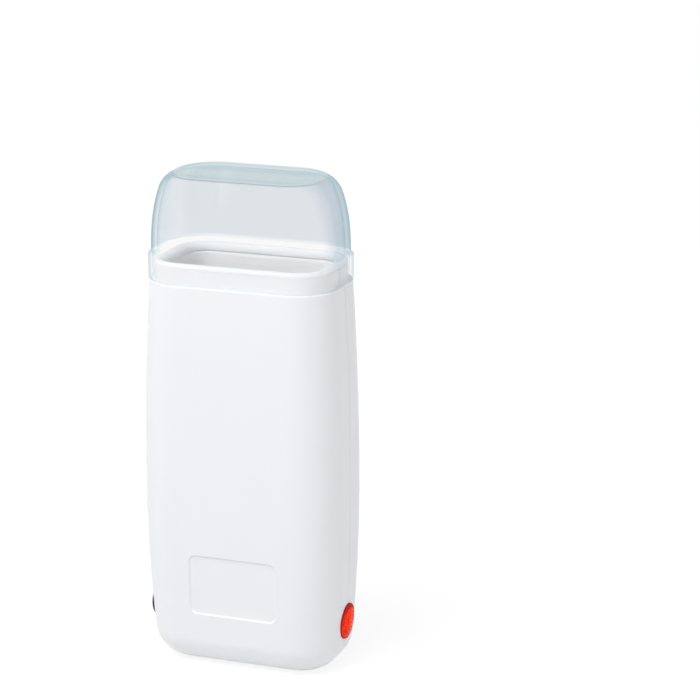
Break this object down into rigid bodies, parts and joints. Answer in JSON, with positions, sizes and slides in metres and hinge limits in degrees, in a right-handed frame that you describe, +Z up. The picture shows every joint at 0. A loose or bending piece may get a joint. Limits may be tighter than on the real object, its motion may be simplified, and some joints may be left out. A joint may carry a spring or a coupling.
{
  "type": "roll on wax heater",
  "caption": "Upright cartridge heater with a two-part barrel housing, a deep open well, a clear lift-off cover, a pilot lamp and a recessed mains inlet.",
  "frame": {"origin": "on the table, under the middle of the heater", "axes": "+Z up through the well, -Y out of the front with the recessed panel, +X out of the side with the pilot lamp"},
  "size_m": [0.0728, 0.0424, 0.1752],
  "materials": {
    "shell_white": "satin",
    "rim_white": "gloss",
    "liner_white": "satin",
    "clear_plastic": "gloss",
    "lens_red": "gloss",
    "lamp_glass": "gloss",
    "resistor_tan": "satin",
    "inlet_black": "satin",
    "nickel_brass": "satin",
    "plate_aluminium": "satin",
    "film_amber": "gloss",
    "spring_steel": "satin",
    "fuse_case": "satin",
    "sleeve_brown": "satin",
    "sleeve_blue": "satin",
    "sleeve_red": "satin",
    "sleeve_clear": "satin",
    "screw_steel": "satin",
    "foot_rubber": "matte"
  },
  "bodies": {
    "heater": {"front_shell": "shell_white", "rear_shell": "shell_white", "rim_ring": "rim_white", "well_liner": "liner_white", "pilot_lens": "lens_red", "lens_retainer": "spring_steel", "lamp_holder": "liner_white", "neon_lamp": "lamp_glass", "lamp_resistor": "resistor_tan", "inlet_housing": "inlet_black", "inlet_pins": "nickel_brass", "push_on_terminals": "nickel_brass", "left_heat_plate": "plate_aluminium", "right_heat_plate": "plate_aluminium", "left_ptc_element": "film_amber", "right_ptc_element": "film_amber", "left_clamp_spring": "spring_steel", "right_clamp_spring": "spring_steel", "thermal_fuse": "fuse_case", "fuse_clip": "plate_aluminium", "live_wire": "sleeve_brown", "neutral_wire": "sleeve_blue", "element_link_wires": "sleeve_red", "lamp_wires": "sleeve_clear", "crimp_sleeves": "nickel_brass", "shell_screws": "screw_steel", "rubber_feet": "foot_rubber"},
    "cover": {"clear_cover": "clear_plastic"}
  },
  "joints": [
    {"name": "cover_lift", "type": "slide", "parent": "heater", "child": "cover", "axis": [0, 0, 1], "range_m": [0, 0.06]}
  ]
}
